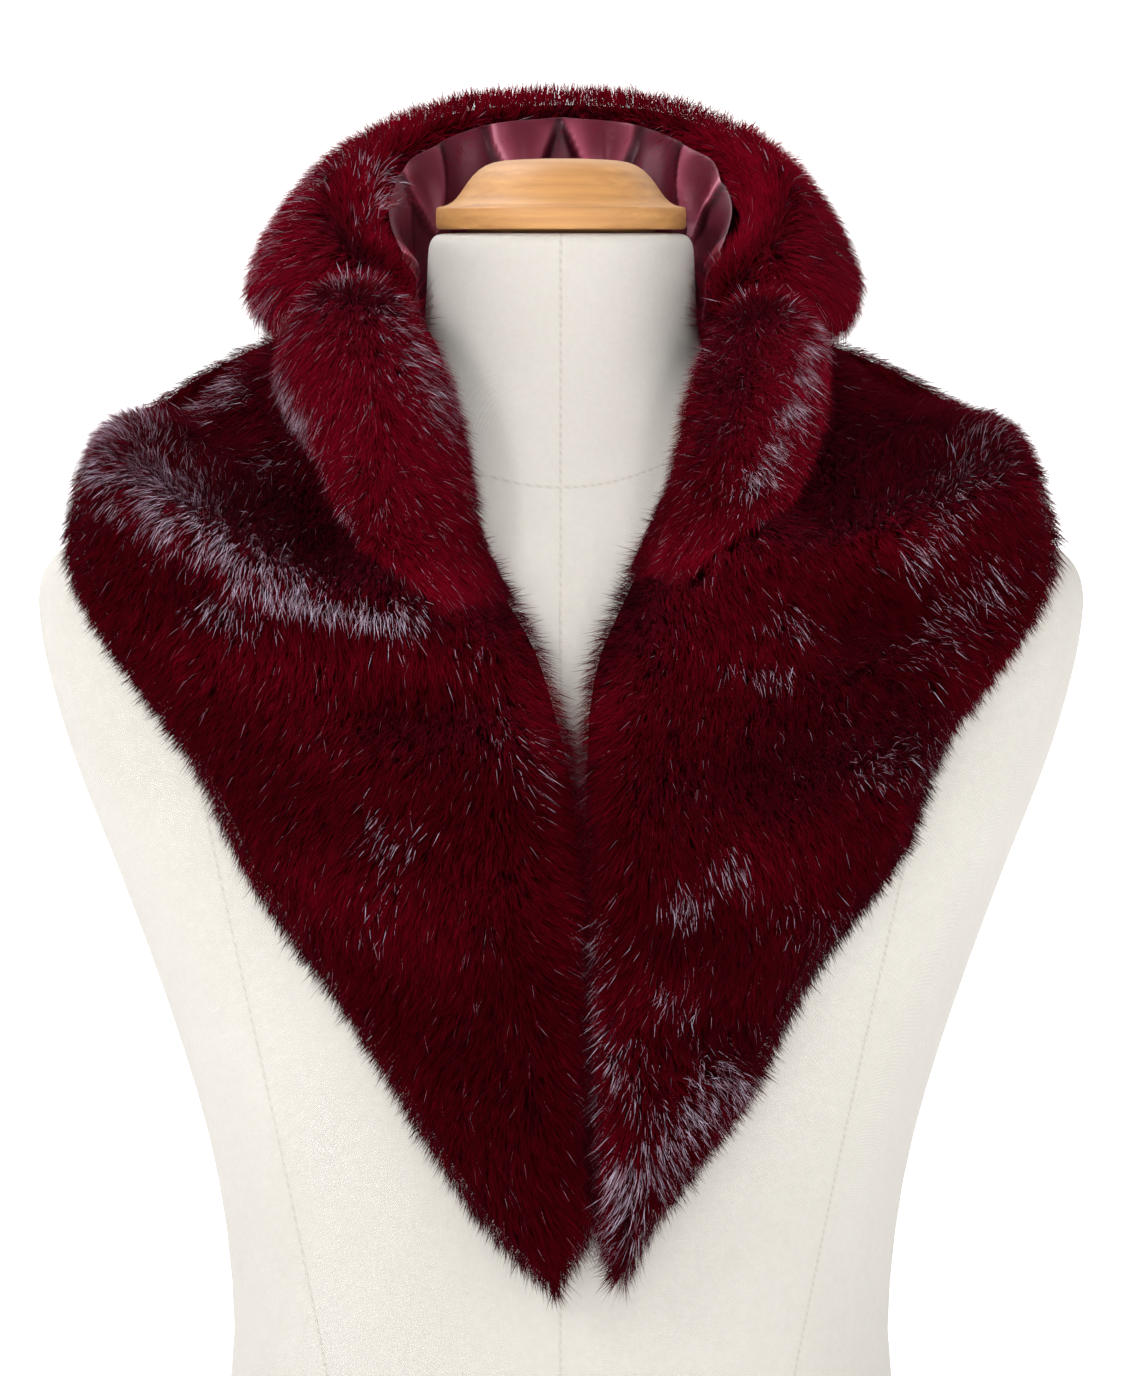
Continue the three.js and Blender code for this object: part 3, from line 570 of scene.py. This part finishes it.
def lay_skin(node, mesh, end_foot):
    """Raises a skin's creases, or sinks the edges and lower end of a lapel into its front."""
    points = np.array([tuple(v.co) for v in mesh.vertices])
    lift = 0.001 * soft_lines(CREASES.get(node, ()), points)
    below = tree_of(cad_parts[node.replace("lapel", "front")].data)
    for k, vertex in enumerate(mesh.vertices):
        place, normal = vertex.co.copy(), vertex.normal
        facing = normal.dot((place - form_tree.find_nearest(place)[0]).normalized())
        if node.startswith("lapel"):
            nearest, _, _, gap = below.find_nearest(place)
            close = 1 - min(gap * 1000 / LIE_CLOSE, 1, max(place.z - end_foot, 0) / END_RUN)
            vertex.co = place.lerp(nearest, close * SINK_SHARE)
        elif facing > CREASE_FACING:
            vertex.co = place + normal * lift[k] * facing
    mesh.update()


def faces_with_hair(node, mesh, tree, neighbours):
    """Whether hair grows on each face. It does where the face is turned from the form, and
    where neither the collar's own roll nor a neighbouring piece lies over it."""
    others = [tree_of(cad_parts[other].data) for other in neighbours]
    least = LEAST_TURNED.get(node, TURNED_AWAY)
    reach = COVER_REACH.get(node, COVERED_WITHIN)
    grows = []
    for face in mesh.polygons:
        middle, normal = face.center, face.normal
        away = (middle - form_tree.find_nearest(middle)[0]).normalized()
        start = middle + normal * RAY_START
        shut_in = node == "collar" and tree.ray_cast(start, normal, ROLL_REACH)[0] is not None
        covered = any(other.ray_cast(start, normal, reach)[0] is not None for other in others)
        grows.append(normal.dot(away) > least and not shut_in and not covered)
    return grows


def far_side(tree, start, way):
    """How far it is from just inside a surface to the other side of the piece."""
    hit = tree.ray_cast(start + way * RAY_INSIDE, way, THICKEST)
    return hit[3] if hit[3] is not None else THICKEST


def root_depths(node, mesh, tree, grows):
    """How deep under the solid's face the skin lies at each vertex: the roots are there."""
    depth = np.zeros(len(mesh.vertices))
    for face, grown in zip(mesh.polygons, grows):
        for k in face.vertices if grown else ():
            if depth[k] == 0:
                place, normal = mesh.vertices[k].co, mesh.vertices[k].normal
                toward = (form_tree.find_nearest(place)[0] - place).normalized()
                thick = min(far_side(tree, place, -normal), far_side(tree, place, toward))
                depth[k] = min(SHALLOW.get(node, HAIR_DEPTH), DEPTH_SHARE * thick)
    return depth


class Pile:
    """The hairs of one fur piece. Each of its arrays has a row for each hair."""

    def __init__(self, node, hairs, seed, end_foot):
        self.node = node
        self.hairs = hairs
        self.end_foot = end_foot
        self.rng = np.random.default_rng(seed)
        self.is_front = node.startswith("front")
        self.is_lapel = node.startswith("lapel")
        self.is_collar = node == "collar"

    def some(self, least, most):
        """A number for each hair, drawn evenly between two."""
        return self.rng.uniform(least, most, self.hairs)

    def waves(self, length):
        """A smooth number between about -1 and 1 that varies over a length: crossed waves."""
        total = np.zeros(self.hairs)
        for _ in range(WAVES):
            way = self.rng.normal(size=3)
            way *= 2 * math.pi / length / np.linalg.norm(way) * self.rng.uniform(0.7, 1.4)
            total += np.sin(self.spot @ way + self.rng.uniform(0, 2 * math.pi))
        return total / math.sqrt(WAVES)

    def scatter(self, mesh, grows, places, normals, depth):
        """Places for the hairs, spread evenly over the faces that they grow on."""
        mesh.calc_loop_triangles()
        grown = [t.vertices[:] for t in mesh.loop_triangles if grows[t.polygon_index]]
        triangles = np.array(grown)
        a, b, c = (places[triangles[:, k]] for k in range(3))
        sizes = np.linalg.norm(np.cross(b - a, c - a), axis=1) / 2
        self.cloth_area = sizes.sum()
        chosen = triangles[self.rng.choice(len(triangles), self.hairs, p=sizes / self.cloth_area)]
        u, v = self.rng.random(self.hairs), self.rng.random(self.hairs)
        u, v = np.where(u + v > 1, 1 - u, u), np.where(u + v > 1, 1 - v, v)
        weights = np.stack([1 - u - v, u, v], axis=1)[:, :, None]
        self.spot = (places[chosen] * weights).sum(axis=1)
        self.height = self.spot[:, 2]
        self.normal = unit((normals[chosen] * weights).sum(axis=1))
        self.deep = (depth[chosen] * weights[:, :, 0]).sum(axis=1)

    def lie_off_crown(self, way):
        """A lapel's hairs lie away from its crown, to the sides and down."""
        away = (self.spot - np.array(CROWNS[self.node])) / np.array(CROWN_SPREAD)
        way[:, 0] = np.clip(away[:, 0], -0.45, 0.45)
        way[:, 2] = np.clip(away[:, 2], -1, 0.3)

    def lie_on_collar(self, way):
        """The collar's hairs lie down outside, up inside, and over the rim to the lining. Its
        lower corners hang down over the shoulders."""
        from_middle = unit((self.spot - np.array([0, LINING_MIDDLE_Y, 0])) * np.array([1, 1, 0]))
        in_front = self.spot[:, 1] < CORNER_BACK
        self.low = np.clip((CORNER_TOP - self.height) / CORNER_FADE, 0, 1) * in_front
        way[:, :2] *= 1 - self.low[:, None]
        turned = (self.normal * from_middle).sum(axis=1, keepdims=True)
        outside = np.clip(0.5 + 1.4 * turned, 0, 1)
        way[:] = outside * way + (1 - outside) * (np.array([0, 0, 1.0]) - 0.25 * from_middle)
        from_lining = np.array([lining_tree.find_nearest(point)[3] for point in self.spot])
        near_lining = np.clip(1.6 - from_lining / RIM_NEAR, 0, 1)
        self.at_rim = near_lining * np.clip((self.height - RIM_FOOT) / RIM_FADE, 0, 1)
        over_rim = self.at_rim[:, None]
        way[:] = (1 - over_rim) * way + over_rim * (np.array([0, 0, -0.5]) - from_middle)

    def lie_to_meeting(self, way):
        """The fronts' hairs turn towards the line where the two meet."""
        middle = MEETING_X[0] + MEETING_X[1] * self.height
        to_meeting = (middle - self.spot[:, 0]) / MEETING_HALF
        near = np.exp(-(to_meeting ** 2)) * (self.spot[:, 1] < 0)
        self.inner = near * np.clip((MEETING_TOP - self.height) / MEETING_FADE, 0.3, 1)
        way[:, 0] += 2.4 * to_meeting * self.inner

    def comb(self, outward):
        """The nap: down and away from the neck, with a slow swirl and tufts that share a lean."""
        way = np.zeros((self.hairs, 3))
        way[:, 2] = -1
        way[:, :2] += outward * unit(self.spot[:, :2])
        if self.is_lapel:
            self.lie_off_crown(way)
        if self.is_collar:
            self.lie_on_collar(way)
        if self.is_front:
            self.lie_to_meeting(way)
        for strength, length in SWIRLS:
            way += strength * np.stack([self.waves(length) for _ in range(3)], axis=1)
        count = max(int(self.cloth_area / TUFT_AREA), 2)
        tufts = self.rng.choice(self.hairs, count, replace=False)
        tree = KDTree(len(tufts))
        for k, tuft in enumerate(tufts):
            tree.insert(self.spot[tuft], k)
        tree.balance()
        own_tuft = np.array([tree.find(point)[1] for point in self.spot])
        tuft_lean = self.rng.normal(size=(len(tufts), 3)) * TUFT_LEAN
        way += tuft_lean[own_tuft] + self.rng.normal(size=(self.hairs, 3)) * HAIR_LEAN
        lean = way - self.normal * (way * self.normal).sum(axis=1, keepdims=True)
        self.lies = np.clip(np.linalg.norm(lean, axis=1), 0.35, 1)  # least where the nap turns
        self.nap = unit(lean)
        self.to_tuft = self.spot[tufts][own_tuft] - self.spot

    def grow(self):
        """Each hair's root, bend and tip. Nearer a cut edge the hairs are rough: they stand out."""
        self.rough = 1 - np.clip(self.deep / SHALLOW.get(self.node, HAIR_DEPTH), 0, 1)
        above_end = (self.height - self.end_foot) / END_RUN
        if self.is_lapel:
            self.rough *= np.clip(above_end, 0, 1)
        reach = self.some(*HAIR_REACH) * (1 - 0.35 * self.rough) * self.lies
        over = self.rng.normal(*HAIR_OVER, self.hairs) + self.rough * self.some(*EDGE_OVER)
        over += (1 - self.lies) * self.some(*TURN_OVER)
        if self.is_front:
            over += self.inner * self.some(0, MEETING_OVER)
            beside = np.abs(self.spot[:, 0]) < NECKLINE_HALF
            by_neck = self.rough * (np.abs(self.height - NECKLINE_Z) < NECKLINE_RUN) * beside
            over += by_neck * self.some(0, NECKLINE_OVER)
            reach *= 1 + 1.3 * self.inner * np.clip((TIP_TOP - self.height) / TIP_FADE, 0, 1)
        if self.is_lapel:
            over *= np.clip(above_end, 0.15, 1)
        if self.is_collar:
            over += self.some(0, COLLAR_OVER) + self.low * self.some(0, CORNER_OVER)
            reach *= 1 + 1.3 * self.low + 0.8 * self.at_rim
        pull = self.to_tuft * self.some(0.0, MOST_PULLED)[:, None]
        self.root = self.spot - self.normal * self.deep[:, None]
        self.tip = self.spot + self.normal * over[:, None] + self.nap * reach[:, None]
        self.tip += pull
        self.bend = self.root + self.normal * (0.8 * self.deep + 0.4 * over)[:, None]
        self.bend = self.bend + self.nap * (0.34 * reach)[:, None] + 0.3 * pull

    def tint(self):
        """The tone: slow patches and each hair's own, with painted shade in creases and low down,
        painted light on ridges, upward faces and thin edges, and painted silver sheen where it
        shows.
        """
        marks = {kind: soft_lines(of.get(self.node, ()), self.spot) for kind, of in MARKS.items()}
        # Each piece's own darkness, with the collar's and lapels' lowered as painted light, and
        # slow patches.
        own_and_painted_darkness = DARK_WITH_PAINTED_LIGHT.get(self.node, PLAIN_DARK) + 0.09 * self.waves(0.06)
        own_and_painted_darkness += self.rng.normal(0, 0.2, self.hairs)
        # Painted light and shade: lighter on crease ridges and where the cloth faces up, darker in
        # crease hollows.
        own_and_painted_darkness -= 0.04 * marks["crease"] + 0.2 * np.clip(self.normal[:, 2], -0.3, 1)
        # Painted light at thin cut edges, as if light passed through them, and painted shade low
        # down.
        painted_edge_light = np.clip(self.rough - 0.5, 0, 0.5)
        own_and_painted_darkness += 0.9 * np.clip(0.43 - self.height, 0, 0.2) - 0.5 * painted_edge_light
        # Painted silver sheen where the cloth turns up to the light, in slow patches, and painted
        # glints on single hairs here and there. Hair under the sheen is darker, and the tone lines
        # add painted light and shade.
        painted_sheen_share = marks["painted_sheen"] * np.clip(0.75 + 0.5 * self.waves(0.012), 0.1, 1.5)
        own_and_painted_darkness += 0.25 * np.clip(painted_sheen_share, 0, 1) - marks["tone"]
        painted_sheen_share += 0.05 * np.clip(self.waves(0.05) - 1.0, 0, 1)
        painted_sheen_hairs = self.rng.random(self.hairs) < np.clip(painted_sheen_share * 0.62, 0, 0.5)
        glints = ~painted_sheen_hairs & (self.rng.random(self.hairs) < (0.03 if self.is_lapel else 0.009))
        amount = painted_sheen_hairs * self.some(0.3, 1.0) + glints * self.some(0.05, 0.4)
        own_and_painted_darkness = np.clip(own_and_painted_darkness, 0.02, 1)
        self.has_painted_sheen = painted_sheen_hairs | glints
        self.tone = np.where(amount > 0, 0.5 + 0.49 * amount, 0.5 - 0.49 * own_and_painted_darkness)

    def mesh(self):
        """The hairs as a mesh. Each is a narrow bent blade, widest at its bend, with normals
        like a round hair's. A thin edge lets the light through, so there they face outwards."""
        late = unit(self.tip - self.bend)
        roll = self.rng.normal(0, BLADE_ROLL, self.hairs)[:, None]
        side = unit(np.cross(late, self.normal))
        side = unit(side * np.cos(roll) + np.cross(late, side) * np.sin(roll))
        # Hairs that carry painted sheen or glints are narrower.
        wide = self.some(0.6, 1.4) * np.where(self.has_painted_sheen, 0.7, 1)
        half = (HAIR_WIDE / 2) * wide[:, None]
        from_axis = unit(self.spot * np.array([1, 1, 0]))
        upward = unit(np.cross(side, late) + 1.2 * self.rough[:, None] * from_axis)
        corners = [self.root, self.bend - side * half, self.bend + side * half, self.tip]
        turned = [upward, upward - side * 0.85, upward + side * 0.85, upward]
        first = np.arange(self.hairs)[:, None] * 4
        faces = (first[:, :, None] + np.array([[0, 2, 1], [1, 2, 3]])).reshape(-1, 3)
        mesh = bpy.data.meshes.new("pile_" + self.node)
        mesh.vertices.add(self.hairs * 4)
        mesh.vertices.foreach_set("co", np.stack(corners, axis=1).reshape(-1))
        mesh.loops.add(faces.size)
        mesh.loops.foreach_set("vertex_index", faces.reshape(-1))
        mesh.polygons.add(len(faces))
        mesh.polygons.foreach_set("loop_start", np.arange(len(faces)) * 3)
        mesh.update(calc_edges=True)

        along = np.tile([0.02, 0.42, 0.42, 0.98], (self.hairs, 1))
        across = self.tone[:, None] + np.array([0.0, -0.002, 0.002, 0.0])
        marks = np.stack([along, across], axis=2).reshape(-1, 2)
        layer = mesh.uv_layers.new(name="OFBake")
        layer.data.foreach_set("uv", marks[faces.reshape(-1)].reshape(-1))
        mesh.polygons.foreach_set("use_smooth", np.ones(len(faces), bool))
        mesh.normals_split_custom_set_from_vertices(unit(np.stack(turned, axis=1).reshape(-1, 3)))
        mesh.materials.append(hair.material)
        return mesh


def fur_piece(node, hairs, seed, outward, flat, area, neighbours):
    """A fur cloth piece in the place of a CAD node: its skin, and the hairs that grow on it.
    outward is how much the hairs lean away from the neck as well as down."""
    end_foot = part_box(node)[0].z + END_START
    skin = copy_of(node, "fur_" + node, 1)
    mesh = skin.data
    lay_skin(node, mesh, end_foot)
    tree = tree_of(mesh)
    grows = faces_with_hair(node, mesh, tree, neighbours)
    depth = root_depths(node, mesh, tree, grows)
    places = np.empty(len(mesh.vertices) * 3)
    mesh.vertices.foreach_get("co", places)
    places = places.reshape(-1, 3)
    normals = np.array([tuple(v.normal) for v in mesh.vertices])

    coat = Pile(node, hairs, seed, end_foot)
    coat.scatter(mesh, grows, places, normals, depth)
    coat.comb(outward)
    coat.grow()
    coat.tint()
    pile = bpy.data.objects.new("pile_" + node, coat.mesh())
    bpy.context.collection.objects.link(pile)

    mesh.vertices.foreach_set("co", (places - normals * depth[:, None]).ravel())
    mesh.update()
    mesh.materials.append(undercoat.material)
    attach(skin, "root")
    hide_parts(node)
    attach(pile, "root")


AROUND_COLLAR = ["collar_lining", "lapel_left", "lapel_right", "back"]
FUR_PIECES = (
    # node, hairs, seed, lean away from the neck, flat cut, its area, pieces that may cover it
    ("back", 74000, 11, 0.5, (0.42, 0.16), 0.058, ["collar"]),
    ("front_right", 94000, 12, 0.45, (0.21, 0.42), 0.053, ["lapel_right", "collar"]),
    ("front_left", 94000, 13, 0.45, (0.21, 0.42), 0.05, ["lapel_left", "collar"]),
    ("lapel_right", 33000, 14, 0.1, (0.085, 0.15), 0.012, ["front_right", "collar"]),
    ("lapel_left", 33000, 15, 0.1, (0.07, 0.15), 0.0098, ["front_left", "collar"]),
    ("collar", 94000, 16, 0.9, (0.46, 0.16), 0.06, AROUND_COLLAR),
)
for row in FUR_PIECES:
    fur_piece(*row)

# The studio
# A pale floor that runs back to a white wall, under a grey surround. Soft lights stand high on
# the left, lower on the right and in front, and above and behind for the sheen on the pile. Two
# narrow ones reach the neck inside the collar.
FLOOR_HALF = 12.0
WALL_AWAY = 9.0
FLOOR_TONES = ((0.70, 0.70, 0.70), (0.74, 0.74, 0.74))
WHITE = (1, 1, 1, 1)
WALL_GREY = (0.8, 0.8, 0.8, 1)
NEAR_WHITE = (1.0, 0.99, 0.98)
NARROW = 16

paper = Finish("studio_paper", Roughness=0.95, Specular_IOR_Level=0.0, Emission_Strength=0.66)
pale = paper.mix(paper.noise(paper.place(), 3, 2.0), *FLOOR_TONES)
paper.feed("Base Color", pale)
paper.shader.inputs["Emission Color"].default_value = WHITE
bpy.ops.mesh.primitive_plane_add(size=2 * FLOOR_HALF, location=(0, 0, 0))
floor = bpy.context.object
floor.name = "studio_floor"
floor.data.materials.append(paper.material)

white = Finish("studio_wall", Roughness=1.0, Specular_IOR_Level=0.0, Emission_Strength=0.9)
white.shader.inputs["Base Color"].default_value = WALL_GREY
white.shader.inputs["Emission Color"].default_value = WHITE
bpy.ops.mesh.primitive_plane_add(
    size=2 * FLOOR_HALF, location=(0, WALL_AWAY, 0), rotation=(math.pi / 2, 0, 0)
)
wall = bpy.context.object
wall.name = "studio_wall"
wall.data.materials.append(white.material)


def soft_light(name, place, target, size, power, colour, spread=180):
    """A soft box that faces a point. Its spread is in degrees."""
    bpy.ops.object.light_add(type="AREA", location=place)
    lamp = bpy.context.object
    lamp.name = name
    lamp.data.shape = "RECTANGLE"
    lamp.data.size, lamp.data.size_y = size
    lamp.data.energy = power
    lamp.data.spread = math.radians(spread)
    lamp.data.color = colour
    lamp.rotation_euler = (Vector(target) - Vector(place)).to_track_quat("-Z", "Y").to_euler()


soft_light("key", (-1.5, -1.9, 1.5), (0, 0, 0.45), (0.9, 0.9), 17, (1.0, 0.99, 0.97))
soft_light("fill", (1.6, -1.8, 0.9), (0, 0, 0.4), (1.5, 1.5), 9, NEAR_WHITE)
soft_light("front", (-0.2, -2.2, 1.15), (0, 0, 0.6), (0.8, 0.8), 9, NEAR_WHITE)
soft_light("neck_left", (-1.2, -1.5, 1.7), (0, 0, 0.62), (0.4, 0.4), 0.12, NEAR_WHITE, NARROW)
soft_light("neck_right", (1.2, -1.5, 1.7), (0, 0, 0.62), (0.4, 0.4), 0.12, NEAR_WHITE, NARROW)
soft_light("top_back", (-0.6, 0.5, 1.9), (0, 0, 0.55), (1.0, 0.6), 12, (0.97, 0.98, 1.0))

world = bpy.data.worlds.new("grey_surround")
world.use_nodes = True
world.node_tree.nodes["Background"].inputs[0].default_value = WHITE
world.node_tree.nodes["Background"].inputs[1].default_value = 0.4
bpy.context.scene.world = world
bpy.context.scene.view_settings.view_transform = "Standard"
